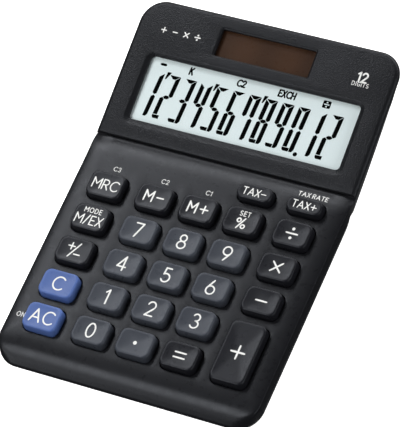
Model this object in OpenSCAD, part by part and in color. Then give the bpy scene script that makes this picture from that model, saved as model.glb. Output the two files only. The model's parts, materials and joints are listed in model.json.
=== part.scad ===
// Desk calculator: a keypad deck with a display head that slopes up behind it.
// Millimetres, +Z up. The origin is the middle of the footprint, on the surface it stands on.
// +Y points to the display end and +X to the right of a person who faces the keys.

/* [Case] */
// Overall width
body_w = 104.5; // [103:0.5:108]
// Overall depth
body_d = 149.5; // [149:0.5:154]
// Height of the deck plane above the table, at the front edge
front_h = 8.85; // [8.7:0.05:9.5]
// Depth of the key deck, from the front edge to the display head
deck_d = 94.85; // [94.5:0.05:96]
// Slope of the key deck, degrees
deck_tilt = 1.5; // [1:0.25:2.5]
// Slope of the display head, degrees
head_tilt = 11.5; // [10:0.25:13]
// Plan radius of the outer corners
corner_r = 9.5; // [8:0.5:11]
// Thickness of the case walls
wall = 1.8; // [1.6:0.1:2]
// Radius of the roll along the front edge of the deck
roll_r = 8; // [7:0.5:9]

/* [Keys] */
// Spacing of the three number columns
column_pitch = 17.7; // [17.6:0.05:18]
// Spacing from a number column to the outer column beside it
outer_pitch = 19.65; // [19.5:0.05:19.9]
// Spacing of the key rows
row_pitch = 14; // [14:0.05:14.1]
// Width of a key's flat top
key_w = 12.8; // [12.4:0.1:12.9]
// Depth of a key's flat top
key_d = 9.3; // [9:0.1:9.4]
// Depth of the two tax keys' flat tops
tax_key_d = 5.3; // [5:0.1:5.6]
// Height of the key tops above the deck
key_rise = 3.2; // [2.8:0.1:3.5]
// How far a key travels when pressed
key_travel = 1.2; // [1:0.1:1.4]

/* [Display] */
// Width of the display opening
lcd_w = 84; // [82:0.5:85]
// Depth of the display opening, along the head
lcd_d = 24.7; // [24:0.1:25]
// Width of the solar cell opening
solar_w = 37.8; // [36:0.2:39]
// Depth of the solar cell opening, along the head
solar_d = 10.6; // [10:0.1:11]
// Thickness of the display panel
panel_t = 1.6; // [1.5:0.1:1.8]

/* [Hidden] */
$fn = 48;

half_w = body_w / 2;
half_d = body_d / 2;
big = 200;
gap = 0.3;

// Reference heights and places
foot_h = 0.8;
floor_top = 2;
hinge_y = deck_d - half_d;
hinge_z = front_h + deck_d * tan(deck_tilt);
split_drop = 4.6;
roll_span = 60;
undercut = 3.2;
head_edge = 0.6;
head_flare = 0.5;
head_bevel = 1.2;
rear_lean = 5;
passage_d = 8;

// Layers under the deck plane, measured down from it
deck_t = 1.5;
tab_top = deck_t + 0.25;
skirt_end = 2.45;
stem_end = 2.6;
dome_top = 2.65;
mat_top = 4.75;
board_top = 5.25;
board_t = 1;

// Layers under the head plane, measured down from it
head_t = 1.4;
head_under = panel_t + head_t;
glass_top = head_under + 0.05;
window_top = panel_t + 0.05;
display_window_t = 0.4;
solar_window_t = 0.6;
lcd_t = 2;
lcd_size = [92, 29.5];
solar_size = [43, 13];

// Key shape
key_taper = 0.8;
key_bevel = 0.45;
key_corner = 2.4;
key_shell = 1.1;
tab_w = 1;
tall_d = key_d + row_pitch;
first_row_y = -21.1;
tax_row_y = -9.4;
columns = [-column_pitch - outer_pitch, -column_pitch, 0, column_pitch, column_pitch + outer_pitch];

// Places on the head, along its slope from the hinge line
lcd_y = 21.2;
solar_y = 44.2;
lcd_bevel_w = 1.75;
lcd_bevel_t = 0.5;
solar_bevel_w = 1;
solar_bevel_t = 0.8;
lcd_ledge = 3;
solar_ledge = 2;
flex_w = 58;

// Main board and its fasteners, in the deck plane
board_w = 94;
board_front_y = -82.5;
board_rear_y = -1.5;
mat_rear_y = -4.8;
board_bosses = [
    [-27.5, -28.1], [27.5, -28.1], [-27.5, -56.1], [27.5, -56.1], [-8.85, -70.1], [8.85, -70.1]
];

// Case fasteners and feet, in the footprint
front_screw = [46.5, -67];
rear_screw = [34, 64];
front_foot = [37, -58];
rear_foot = [36, 53];
foot_r = 4.5;
foot_recess = 0.4;

// Battery, in the footprint
battery = [0, 54];
cell_r = 5.8;
cell_h = 5.4;
cell_z = 3;
cover_w = 26;
cover_d = 17;

// ---- frames ----
module on_deck() {
    translate([0, hinge_y, hinge_z]) rotate([deck_tilt, 0, 0]) children();
}

module on_head() {
    translate([0, hinge_y, hinge_z]) rotate([head_tilt, 0, 0]) children();
}

// Extrudes an outline drawn in (y, z) across the width
module across(w) {
    rotate([90, 0, 90]) linear_extrude(w, center = true) children();
}

// Extrudes an outline drawn in (x, z) along the depth
module along(d) {
    rotate([90, 0, 0]) linear_extrude(d, center = true) children();
}

module both_sides() {
    children();
    mirror([1, 0, 0]) children();
}

// ---- basic forms ----
module rounded_rect(w, d, r) {
    square([w - 2 * r, d], center = true);
    square([w, d - 2 * r], center = true);
    for (x = [-1, 1], y = [-1, 1])
        translate([x * (w / 2 - r), y * (d / 2 - r)]) circle(r);
}

// Rounded block from z = 0 down to -h
module slab(w, d, h, r) {
    translate([0, 0, -h]) linear_extrude(h) rounded_rect(w, d, r);
}

// Block whose four sides lean in, from w x d at z0 to less by 2 * lean at z1
module leaning_block(w, d, z0, z1, lean, r) {
    intersection() {
        translate([0, 0, min(z0, z1)]) linear_extrude(abs(z1 - z0)) rounded_rect(w, d, r);
        along(d + 1) polygon([[-w / 2, z0], [w / 2, z0], [w / 2 - lean, z1], [lean - w / 2, z1]]);
        across(w + 1) polygon([[-d / 2, z0], [d / 2, z0], [d / 2 - lean, z1], [lean - d / 2, z1]]);
    }
}

// Eight-sided wire swept along a list of points, one ring to a point
function unit(v) = v / norm(v);
function wire_axis(points, i) = unit(
    (i < len(points) - 1 ? unit(points[i + 1] - points[i]) : [0, 0, 0])
    + (i > 0 ? unit(points[i] - points[i - 1]) : [0, 0, 0])
);
function wire_ring(points, i, r) = let (
    t = wire_axis(points, i),
    u = unit(cross(t, [1, 0, 0])),
    v = cross(t, u)
) [for (a = [0 : 45 : 315]) points[i] + r * (u * cos(a) + v * sin(a))];

module wire(points, r) {
    n = len(points);
    rings = [for (i = [0 : n - 1]) each wire_ring(points, i, r)];
    sides = [for (i = [0 : n - 2], k = [0 : 7])
        [8 * i + k, 8 * i + (k + 1) % 8, 8 * i + 8 + (k + 1) % 8, 8 * i + 8 + k]];
    polyhedron(rings, concat(
        sides, [[7, 6, 5, 4, 3, 2, 1, 0]], [[for (k = [0 : 7]) 8 * (n - 1) + k]]
    ));
}

// ---- outer form of the case, inset by t ----
function under(t) = foot_h + min(t, floor_top - foot_h);

module keypad_block(t) {
    front = -deck_d - gap + t;
    roll_y = -deck_d - gap + roll_r * sin(roll_span);
    intersection() {
        linear_extrude(big) rounded_rect(body_w - 2 * t, body_d - 2 * t, corner_r - t);
        translate([-half_w, -half_d, under(t)]) cube([body_w, hinge_y + half_d, big]);
        on_deck() across(body_w) polygon(concat(
            [[gap, -t]],
            [for (a = [0 : 4 : roll_span])
                [roll_y - (roll_r - t) * sin(a), -roll_r + (roll_r - t) * cos(a)]],
            [[front, -split_drop], [front + undercut, -split_drop - undercut - 1],
             [front + undercut, -big / 4], [gap, -big / 4]]
        ));
        on_deck() along(2 * body_d) polygon([
            [half_w - t - 0.8, -t], [half_w - t - 0.4, -t - 0.4], [half_w - t, -split_drop + 0.8],
            [half_w - t, -split_drop], [half_w - t - undercut, -split_drop - undercut - 1],
            [half_w - t - undercut, -big / 4], [undercut + t - half_w, -big / 4],
            [undercut + t - half_w, -split_drop - undercut - 1], [t - half_w, -split_drop],
            [t - half_w, -split_drop + 0.8], [t + 0.4 - half_w, -t - 0.4], [t + 0.8 - half_w, -t]
        ]);
    }
}

module head_block(t) {
    top = hinge_z - (panel_t + t) / cos(head_tilt);
    rear_top = top + (half_d - hinge_y) * tan(head_tilt);
    intersection() {
        linear_extrude(big) rounded_rect(body_w - 2 * t, body_d - 2 * t, corner_r - t);
        across(body_w) polygon([
            [hinge_y, under(t)], [half_d - t - rear_lean, under(t)],
            [half_d - t, rear_top - head_edge], [half_d - t, rear_top], [hinge_y, top]
        ]);
        on_head() along(2 * body_d) polygon([
            [half_w - t, big / 4], [half_w - t, -panel_t - head_edge],
            [half_w - t - 24 * head_flare, -panel_t - head_edge - 24],
            [24 * head_flare + t - half_w, -panel_t - head_edge - 24],
            [t - half_w, -panel_t - head_edge], [t - half_w, big / 4]
        ]);
    }
}

module envelope(t) {
    keypad_block(t);
    head_block(t);
}

// The half space above the split between the two shells
module above_split() {
    on_deck() translate([-big / 2, -big / 2 - 40, -split_drop]) cube([big, big, big / 4]);
}

module key_hole(x, y, d) {
    translate([x, y, gap]) slab(key_w + 2 * key_taper + 2 * gap, d + 2 * key_taper + 2 * gap,
                                deck_t + 2 * gap, key_corner + gap);
}

module key_holes() {
    for (c = [3, 4]) key_hole(columns[c], tax_row_y, tax_key_d);
    for (r = [0 : 4], c = [0 : 4])
        if (c < 4 || r < 3) key_hole(columns[c], first_row_y - r * row_pitch, key_d);
    key_hole(columns[4], first_row_y - 3.5 * row_pitch, tall_d);
}

module at_case_screws() {
    both_sides() translate(front_screw) children();
    both_sides() translate(rear_screw) children();
}

module case_boss_holes() {
    at_case_screws() translate([0, 0, floor_top]) cylinder(h = 4.6, r = 1);
    both_sides() translate(rear_screw) translate([0, 0, floor_top]) cylinder(h = 11, r = 1);
}

// ---- shells ----
module upper_case() {
    color("#2b2c30") difference() {
        union() {
            difference() {
                intersection() {
                    envelope(0);
                    above_split();
                }
                keypad_block(deck_t);
                head_block(head_t);
                head_passage();
            }
            intersection() {
                envelope(1);
                above_split();
                at_case_screws() cylinder(h = big / 4, r = 2.4);
            }
            on_deck() for (b = board_bosses)
                translate([b[0], b[1], -board_top]) cylinder(h = board_top - deck_t + 0.5, r = 2.2);
        }
        on_deck() key_holes();
        on_deck() for (b = board_bosses)
            translate([b[0], b[1], -board_top - 1]) cylinder(h = 4, r = 0.8);
        case_boss_holes();
        on_head() translate([0, lcd_y, 0])
            slab(lcd_w + lcd_ledge + 2 * gap, lcd_d + lcd_ledge + 2 * gap, 8, 1.8);
        on_head() translate([0, solar_y, 0]) slab(solar_w + solar_ledge + 0.4, solar_d + solar_ledge + 0.4, 8, 1);
    }
}

// Opens the inside of the keypad part into the inside of the head
module head_passage() {
    on_deck() translate([0, 0, -big / 8 - head_under - 1])
        cube([body_w - 2 * wall - 4, passage_d, big / 4], center = true);
}

module lower_case() {
    color("#26272a") difference() {
        union() {
            difference() {
                envelope(0);
                above_split();
                envelope(wall);
                translate([0, hinge_y, floor_top + big / 8])
                    cube([body_w - 2 * wall - 8, passage_d, big / 4], center = true);
            }
            screw_posts();
            battery_walls();
        }
        at_case_screws() {
            cylinder(h = big / 8, r = 1.3);
            cylinder(h = floor_top, r = 2.5);
        }
        both_sides() for (p = [front_foot, rear_foot])
            translate(p) cylinder(h = foot_h + foot_recess, r = foot_r);
        translate(battery) battery_mouth();
    }
}

module screw_posts() {
    difference() {
        intersection() {
            translate([0, 0, foot_h]) at_case_screws() cylinder(h = big / 8, r = 3.4);
            envelope(1);
        }
        on_deck() translate([-big / 2, -big / 2 - 40, -split_drop - 0.1]) cube([big, big, big / 4]);
    }
}

module battery_walls() {
    translate(battery) {
        translate([0, 0, foot_h]) linear_extrude(2.4) rounded_rect(cover_w + 4, cover_d + 4, 2);
        difference() {
            translate([0, 0, floor_top]) cylinder(h = 6, r = cell_r + 1.5);
            translate([cell_r, 0, floor_top + 5]) cube([6, 5, 10], center = true);
        }
    }
}

module battery_mouth() {
    translate([0, 0, foot_h - 1]) linear_extrude(2.4)
        rounded_rect(cover_w + 0.4, cover_d + 0.4, 1.2);
    translate([0, 0, foot_h]) cylinder(h = 10, r = cell_r + 0.3);
    translate([-10, 0, foot_h]) cylinder(h = 2.6, r = 0.75);
    translate([cover_w / 2 - 4.5, -3.1, foot_h]) cube([2.2, 6.2, 1.8]);
    translate([cell_r + 0.4, 0, 4]) cube([1.6, 5, 4], center = true);
}

// ---- display head ----
module aperture(w, d, bevel_w, bevel_t, r) {
    slab(w, d, panel_t + 1, r);
    mirror([0, 0, 1])
        leaning_block(w + 2 * bevel_w, d + 2 * bevel_w, 0, bevel_t, bevel_w, r + bevel_w);
}

module display_panel() {
    head_d = (half_d - hinge_y) / cos(head_tilt) + 1;
    color("#303136") difference() {
        intersection() {
            linear_extrude(big) rounded_rect(body_w, body_d, corner_r);
            on_head() along(3 * head_d) polygon([
                [half_w - head_bevel, 0], [half_w, -head_bevel], [half_w, -panel_t],
                [-half_w, -panel_t], [-half_w, -head_bevel], [head_bevel - half_w, 0]
            ]);
            on_head() across(body_w) polygon([
                [gap, 0], [head_d - 1.6 - head_bevel, 0], [head_d - 1.6, -head_bevel],
                [head_d, -panel_t], [gap, -panel_t]
            ]);
        }
        on_head() translate([0, lcd_y, 0]) aperture(lcd_w, lcd_d, lcd_bevel_w, lcd_bevel_t, 1.6);
        on_head() translate([0, solar_y, 0])
            aperture(solar_w, solar_d, solar_bevel_w, solar_bevel_t, 0.6);
    }
}

// Glass whose middle stands up through the opening, to just under its window
module stepped_glass(w, d, window_under, size, t) {
    step_top = window_under + 0.05;
    translate([0, 0, -step_top]) slab(w - 0.4, d - 0.4, glass_top - step_top, 0.8);
    translate([0, 0, -glass_top]) slab(size[0], size[1], t, 0.3);
}

module display_window() {
    color("#dfe9ea", 0.4) on_head() translate([0, lcd_y, -window_top])
        slab(lcd_w + lcd_ledge, lcd_d + lcd_ledge, display_window_t, 1.5);
}

module solar_window() {
    color("#5a4438", 0.6) on_head() translate([0, solar_y, -window_top])
        slab(solar_w + solar_ledge, solar_d + solar_ledge, solar_window_t, 0.8);
}

module solar_cell() {
    color("#41302a") on_head() translate([0, solar_y, 0])
        stepped_glass(solar_w + solar_ledge, solar_d + solar_ledge, window_top + solar_window_t,
                      solar_size, 1.1);
}

module lcd_cell() {
    color("#d5e3e3") on_head() translate([0, lcd_y, 0])
        stepped_glass(lcd_w + lcd_ledge, lcd_d + lcd_ledge, window_top + display_window_t,
                      lcd_size, lcd_t);
}

module lcd_reflector() {
    color("#b9c4c2") on_head() translate([0, lcd_y + 1, -glass_top - lcd_t - 0.05])
        slab(lcd_size[0] - 2, lcd_size[1] - 4, 0.2, 0.3);
}

module lcd_frame() {
    frame_t = 3;
    color("#e6e6e0") on_head() translate([0, lcd_y, -glass_top]) difference() {
        slab(lcd_size[0] + 4, lcd_size[1] + 3, frame_t, 2);
        translate([0, 0, 1]) slab(lcd_size[0] + 0.4, lcd_size[1] + 0.4, lcd_t + 1.35, 0.5);
        slab(lcd_w + 2, lcd_d - 0.7, frame_t + 1, 1);
        translate([0, -lcd_size[1] / 2, -lcd_t - 0.35]) cube([flex_w + 4, 7, 0.8], center = true);
    }
}

// Heat-sealed film from the display's lower ledge to the board's rear edge
module lcd_flex_cable() {
    film_t = 0.12;
    path = [[29, 7.5], [22.6, 6.5], [19.2, 6.22], [16.2, 6.13]];
    color("#b87333") across(flex_w) polygon(concat(
        path, [for (i = [3 : -1 : 0]) path[i] - [0, film_t]]
    ));
}

// ---- electronics ----
module board_outline(rear_y) {
    depth = rear_y - board_front_y;
    translate([0, board_front_y + depth / 2]) rounded_rect(board_w, depth, 1.5);
}

module main_board() {
    color("#2f6b3c") on_deck() translate([0, 0, -board_top - board_t]) difference() {
        linear_extrude(board_t) board_outline(board_rear_y);
        for (b = board_bosses) translate([b[0], b[1], -1]) cylinder(h = board_t + 2, r = 1);
    }
}

module controller_chip() {
    color("#101010") on_deck() translate([0, -14, -board_top - board_t - 1])
        cylinder(h = 1, r1 = 3, r2 = 4.5);
}

module ceramic_capacitors() {
    color("#b9925c") on_deck() for (x = [-14, -9, 10])
        translate([x, -12, -board_top - board_t - 0.45]) cube([2, 1.2, 0.9], center = true);
}

module storage_capacitor() {
    color("#27408b") translate([22, hinge_y + 2.6, 4.2]) rotate([0, 90, 0]) {
        cylinder(h = 7, r = 2);
        for (y = [-0.8, 0.8]) translate([0, y, -1.6]) cylinder(h = 1.6, r = 0.25);
    }
}

module dome(x, y) {
    translate([x, y, -mat_top]) {
        cylinder(h = 1.6, r1 = 4, r2 = 2.4);
        cylinder(h = mat_top - dome_top, r = 2.1);
    }
}

module domes() {
    for (c = [3, 4]) dome(columns[c], tax_row_y);
    for (r = [0 : 4], c = [0 : 4])
        if (c < 4 || r < 3) dome(columns[c], first_row_y - r * row_pitch);
    dome(columns[4], first_row_y - 3.5 * row_pitch);
}

// Silicone sheet with a collapsing dome under every key
module dome_mat() {
    color("#c9ccd0") on_deck() difference() {
        union() {
            translate([0, 0, -board_top]) linear_extrude(board_top - mat_top)
                board_outline(mat_rear_y);
            domes();
        }
        for (b = board_bosses) translate([b[0], b[1], -board_top - 1]) cylinder(h = 4, r = 2.5);
    }
}

module solar_leads() {
    color("#a22a2a") both_sides()
        wire([[15, 61, 14.9], [15, 59, 8], [14, 40, 5], [13, 21, 4.3], [13, 15, 4.3]], 0.4);
}

module battery_leads() {
    color("#222222") both_sides()
        wire([[9.3, 50, 8], [9, 44, 5.5], [6, 30, 4.4], [6, 15, 4.3]], 0.4);
}

// ---- battery ----
module battery_cell() {
    color("#c8ccd0") translate([battery[0], battery[1], cell_z]) {
        cylinder(h = cell_h - 0.4, r = cell_r);
        cylinder(h = cell_h, r = cell_r - 1);
    }
}

module battery_contact_positive() {
    color("#c9b458") translate([battery[0] + cell_r + 0.1, battery[1], 0]) {
        translate([0, -2, 3.4]) cube([0.3, 4, 5.8]);
        translate([0, -2, 8.9]) cube([3.6, 4, 0.3]);
    }
}

module battery_contact_negative() {
    color("#c9b458") translate([battery[0], battery[1], cell_z + cell_h + 0.05]) {
        translate([-9, -2, 0]) cube([11, 4, 0.3]);
        translate([-9, -2, -1]) cube([0.3, 4, 1.3]);
    }
}

module battery_cover() {
    color("#26272a") translate([battery[0], battery[1], foot_h]) difference() {
        union() {
            linear_extrude(1.3) rounded_rect(cover_w, cover_d, 1);
            translate([cover_w / 2 - 4.4, -3, 1.3]) cube([2, 6, 0.4]);
        }
        translate([-10, 0, -1]) cylinder(h = 4, r = 0.95);
        translate([-10, 0, -1]) cylinder(h = 1.6, r = 1.8);
        for (i = [-2 : 2]) translate([8 + i * 1.4, -4, -1]) cube([0.6, 8, 1.3]);
    }
}

module pan_head_screw(shank, head_r, head_h, shank_r) {
    difference() {
        union() {
            cylinder(h = head_h, r = head_r);
            cylinder(h = head_h + shank, r = shank_r);
        }
        for (a = [0, 90]) rotate([0, 0, a])
            cube([head_r * 1.2, 0.4, head_h], center = true);
    }
}

module battery_cover_screw() {
    color("#8f9296") translate([battery[0] - 10, battery[1], foot_h])
        pan_head_screw(1.8, 1.6, 0.55, 0.72);
}

// ---- fasteners and feet ----
module case_screws() {
    head_z = foot_h + 0.2;
    color("#8f9296") {
        both_sides() translate([front_screw[0], front_screw[1], head_z])
            pan_head_screw(4.4, 2.2, 1, 0.95);
        both_sides() translate([rear_screw[0], rear_screw[1], head_z])
            pan_head_screw(9.5, 2.2, 1, 0.95);
    }
}

module board_screws() {
    color("#b0a878") on_deck() for (b = board_bosses)
        translate([b[0], b[1], -board_top - board_t - 0.8]) pan_head_screw(3, 1.6, 0.8, 0.75);
}

module rubber_feet() {
    color("#1c1c1c") both_sides() for (p = [front_foot, rear_foot])
        translate(p) cylinder(h = foot_h + foot_recess, r = foot_r - 0.05);
}

// ---- keys ----
module key(x, y, d, tint) {
    w = key_w + 2 * key_taper;
    depth = d + 2 * key_taper;
    shoulder = key_rise - key_bevel;
    lean = key_taper * shoulder / key_rise;
    cap_lean = key_taper - lean + 0.3;
    color(tint) on_deck() translate([x, y, 0]) difference() {
        union() {
            slab(w, depth, skirt_end, key_corner);
            leaning_block(w, depth, 0, shoulder, lean, key_corner);
            leaning_block(w - 2 * lean, depth - 2 * lean, shoulder, key_rise, cap_lean,
                          key_corner - lean);
            for (s = [-1, 1]) translate([s * w / 2, 0, -(tab_top + skirt_end) / 2])
                cube([2 * tab_w, min(6, depth - 2), skirt_end - tab_top], center = true);
        }
        difference() {
            translate([0, 0, key_rise - 1.4])
                slab(w - 2 * key_shell, depth - 2 * key_shell, key_rise + 4, key_corner - key_shell);
            translate([0, 0, -stem_end]) cylinder(h = stem_end + key_rise, r = 1.5);
        }
    }
    color(tint) on_deck() translate([x, y, -stem_end]) cylinder(h = stem_end + 1, r = 1.5);
}

module row_key(row, column, tint) {
    key(columns[column], first_row_y - row * row_pitch, key_d, tint);
}

module key_tax_minus() { key(columns[3], tax_row_y, tax_key_d, "#303135"); }
module key_tax_plus() { key(columns[4], tax_row_y, tax_key_d, "#303135"); }
module key_memory_recall() { row_key(0, 0, "#303135"); }
module key_memory_minus() { row_key(0, 1, "#303135"); }
module key_memory_plus() { row_key(0, 2, "#303135"); }
module key_percent() { row_key(0, 3, "#303135"); }
module key_divide() { row_key(0, 4, "#303135"); }
module key_mode() { row_key(1, 0, "#303135"); }
module key_7() { row_key(1, 1, "#4b4e57"); }
module key_8() { row_key(1, 2, "#4b4e57"); }
module key_9() { row_key(1, 3, "#4b4e57"); }
module key_multiply() { row_key(1, 4, "#303135"); }
module key_sign() { row_key(2, 0, "#303135"); }
module key_4() { row_key(2, 1, "#4b4e57"); }
module key_5() { row_key(2, 2, "#4b4e57"); }
module key_6() { row_key(2, 3, "#4b4e57"); }
module key_minus() { row_key(2, 4, "#303135"); }
module key_clear() { row_key(3, 0, "#4a66ad"); }
module key_1() { row_key(3, 1, "#4b4e57"); }
module key_2() { row_key(3, 2, "#4b4e57"); }
module key_3() { row_key(3, 3, "#4b4e57"); }
module key_plus() { key(columns[4], first_row_y - 3.5 * row_pitch, tall_d, "#303135"); }
module key_all_clear() { row_key(4, 0, "#4a66ad"); }
module key_0() { row_key(4, 1, "#4b4e57"); }
module key_decimal() { row_key(4, 2, "#4b4e57"); }
module key_equals() { row_key(4, 3, "#303135"); }

upper_case();
lower_case();
display_panel();
display_window();
solar_window();
solar_cell();
lcd_cell();
lcd_reflector();
lcd_frame();
lcd_flex_cable();
main_board();
controller_chip();
ceramic_capacitors();
storage_capacitor();
dome_mat();
solar_leads();
battery_leads();
battery_cell();
battery_contact_positive();
battery_contact_negative();
battery_cover();
battery_cover_screw();
case_screws();
board_screws();
rubber_feet();
key_tax_minus();
key_tax_plus();
key_memory_recall();
key_memory_minus();
key_memory_plus();
key_percent();
key_divide();
key_mode();
key_7();
key_8();
key_9();
key_multiply();
key_sign();
key_4();
key_5();
key_6();
key_minus();
key_clear();
key_1();
key_2();
key_3();
key_plus();
key_all_clear();
key_0();
key_decimal();
key_equals();
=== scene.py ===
"""Desk calculator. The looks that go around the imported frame.

Shapes are drawn in millimetres, in one of three frames: the table (the frame's own axes), the key
deck and the display head. The deck and head frames start at the hinge line where the two slopes
meet, with y up the slope and z out of it.
"""

import json
import math

import bmesh
import bpy
from mathutils import Matrix, Vector
from mathutils.bvhtree import BVHTree
from mathutils.geometry import delaunay_2d_cdt


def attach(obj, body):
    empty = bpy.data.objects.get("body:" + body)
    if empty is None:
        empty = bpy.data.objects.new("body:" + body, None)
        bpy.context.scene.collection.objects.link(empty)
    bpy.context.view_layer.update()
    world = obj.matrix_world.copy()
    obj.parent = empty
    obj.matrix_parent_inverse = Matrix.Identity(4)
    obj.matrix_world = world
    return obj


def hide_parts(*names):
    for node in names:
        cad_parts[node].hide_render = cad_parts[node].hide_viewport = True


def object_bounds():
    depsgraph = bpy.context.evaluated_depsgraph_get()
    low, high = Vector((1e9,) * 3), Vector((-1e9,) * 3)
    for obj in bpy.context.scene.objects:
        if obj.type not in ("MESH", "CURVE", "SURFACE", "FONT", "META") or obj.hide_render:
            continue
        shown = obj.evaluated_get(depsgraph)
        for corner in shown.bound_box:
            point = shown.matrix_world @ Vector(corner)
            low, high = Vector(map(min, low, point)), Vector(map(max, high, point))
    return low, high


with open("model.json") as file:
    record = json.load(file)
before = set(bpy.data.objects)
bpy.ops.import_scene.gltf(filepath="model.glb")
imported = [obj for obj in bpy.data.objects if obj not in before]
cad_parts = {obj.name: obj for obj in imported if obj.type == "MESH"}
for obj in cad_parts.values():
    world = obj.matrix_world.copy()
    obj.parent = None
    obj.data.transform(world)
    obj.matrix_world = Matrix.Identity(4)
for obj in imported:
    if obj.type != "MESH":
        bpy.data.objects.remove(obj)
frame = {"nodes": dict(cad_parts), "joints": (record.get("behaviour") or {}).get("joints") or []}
cad_low, cad_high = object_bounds()

# ---- sizes, in millimetres ----
MM = 0.001
HALF_W = cad_high.x / MM
HALF_D = cad_high.y / MM
DECK_D = 94.85
FRONT_H = 8.85
DECK_TILT = math.asin(frame["joints"][0]["axis"][1])
HEAD_TILT = math.radians(11.5)
HINGE_Y = DECK_D - HALF_D
HINGE_Z = FRONT_H + DECK_D * math.tan(DECK_TILT)
CORNER_R = 9.5
FOOT_H = 0.8
DECK_T = 1.5
PANEL_T = 1.6

# The rolled margins of the deck: how wide each roll is, and how far it falls
SIDE_ROLL = 6.9
SIDE_DROP = 0.56
FRONT_ROLL = 11.6
HINGE_ROLL = 10.5
HINGE_DROP = 1.2
FIELD_CORNER = 2.9
EDGE_DROP = 0.62

# The step from the deck to the display panel: the ledge in front of it and the shelf under it
LEDGE = 0.28
STEP_DROP = 2.0
SHELF_D = 4.0
SHELF_RISE = 0.5

# The parting line of the case: how far under the deck it is, and half the gap between its lips
SPLIT_DROP = 4.6
SPLIT_LIP = 0.12

# The walls under the deck: how far under the parting line they start to draw in, how fast, and
# how far in all
UNDERCUT_START = 0.8
UNDERCUT_RATE = 0.76
UNDERCUT = 3.2
LEAST_CORNER = 2.2

# The walls of the head: how far they draw in for each millimetre of height, at the sides near
# the hinge, at the sides towards the rear, and at the rear. The deck's walls turn into them
# over the last stretch before the hinge.
HINGE_FLARE = 0.30
REAR_FLARE = 0.38
REAR_LEAN = 0.26
FLARE_SPREAD = 42.0
FLARE_LENGTH = 10.0

# Underside: feet and screws of the right half, mirrored to the left, and the radius and depth of
# their sinks; the battery door's width, depth, corner radius and middle, and how deep it sits
FEET = ((37, -58), (36, 53))
FOOT_SINK = (4.5, 0.4)
SCREWS = ((46.5, -67), (34, 64))
SCREW_SINK = (2.4, 1.2)
DOOR = (26.4, 17.4, 1.2, 0, 54)
DOOR_SINK = 1.4

# Keys: height over the deck, taper, what the CAD foot has more than the cap on each side (slack,
# and tabs at the left and right), corners, gap to the opening, the rim and the dish of the top
KEY_RISE = 3.2
KEY_TAPER = 0.5
KEY_SLACK = 0.3
KEY_CORNER = 2.4
KEY_GAP = 0.3
KEY_TAB = 1.0
KEY_RIM = 0.28
KEY_BOWL_R = 2.3
DISH = 0.28
DISHED_D = 8.7
DOT_IN_FRONT = 1.2

# Display: x, y, width and depth of each opening in the head frame, then how far its slope reaches
# at the sides, at the front and at the rear, how deep it goes, and the corner radius
LCD = (0.2, 20.9, 84.8, 25.4)
LCD_SLOPE = (1.75, 2.4, 1.3, 0.75, 1.6)
LCD_FACE = -2.1
SOLAR = (0.0, 44.2, 37.8, 10.6)
SOLAR_SLOPE = (0.75, 0.75, 0.75, 0.45, 0.6)
PANEL_FRONT = 0.3
PANEL_FRONT_LEAN = 0.32
PANEL_REAR = 0.55


def slope(tilt):
    """Frame on the hinge line, in millimetres of the table frame."""
    return Matrix.Translation((0, HINGE_Y, HINGE_Z)) @ Matrix.Rotation(tilt, 4, "X")


TABLE = Matrix.Identity(4)
DECK = slope(DECK_TILT)
HEAD = slope(HEAD_TILT)


def lerp(a, b, t):
    return a + (b - a) * t


def clamp(v, low=0.0, high=1.0):
    return max(low, min(high, v))


def smooth(v):
    v = clamp(v)
    return v * v * (3 - 2 * v)


# ---- mesh helpers ----
def add_ring(bm, points):
    return [bm.verts.new(p) for p in points]


def bridge(bm, a, b, closed=True):
    """Quads between two rings of the same length."""
    n = len(a)
    for i in range(n if closed else n - 1):
        j = (i + 1) % n
        bm.faces.new((a[i], a[j], b[j], b[i]))


def bridge_all(bm, rings, closed=True):
    for a, b in zip(rings, rings[1:]):
        bridge(bm, a, b, closed)


def fill(bm, outer, holes=(), loose=(), up=True):
    """Triangles between an outer ring and the rings of its holes, all seen from above."""
    verts = [*outer, *(v for h in holes for v in h), *loose]
    hole_of, edges, start = {}, [], 0
    for k, ring in enumerate([outer, *holes]):
        n = len(ring)
        edges += [(start + i, start + (i + 1) % n) for i in range(n)]
        if k:
            hole_of.update({start + i: k for i in range(n)})
        start += n
    flat = [Vector((v.co.x, v.co.y)) for v in verts]
    _, _, faces, origin, _, _ = delaunay_2d_cdt(flat, edges, [], 1, 1e-5)
    for face in faces:
        index = [origin[i][0] for i in face]
        inside = {hole_of.get(i, 0) for i in index}
        if len(set(index)) < 3 or (len(inside) == 1 and 0 not in inside):
            continue
        tri = [verts[i] for i in index]
        a, b, c = (v.co for v in tri)
        if ((b - a).cross(c - a).z > 0) != up:
            tri.reverse()
        bm.faces.new(tri)


def cap(bm, ring, up=True):
    face = bm.faces.new(ring)
    face.normal_update()
    if (face.normal.z > 0) != up:
        face.normal_flip()


def rounded(w, d, r, x=0.0, y=0.0, z=0.0, n=7):
    """Ring of points round a rectangle with rounded corners, anticlockwise."""
    r = min(r, w / 2 - 0.01, d / 2 - 0.01)
    ring = []
    for k, (sx, sy) in enumerate(((1, 1), (-1, 1), (-1, -1), (1, -1))):
        for i in range(n):
            a = math.radians(90 * (k + i / (n - 1)))
            ring.append(
                Vector((
                    x + sx * (w / 2 - r) + r * math.cos(a),
                    y + sy * (d / 2 - r) + r * math.sin(a),
                    z,
                ))
            )
    return ring


def circle(x, y, r, z, n=32):
    return [
        Vector((x + r * math.cos(math.tau * i / n), y + r * math.sin(math.tau * i / n), z))
        for i in range(n)
    ]


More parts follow.
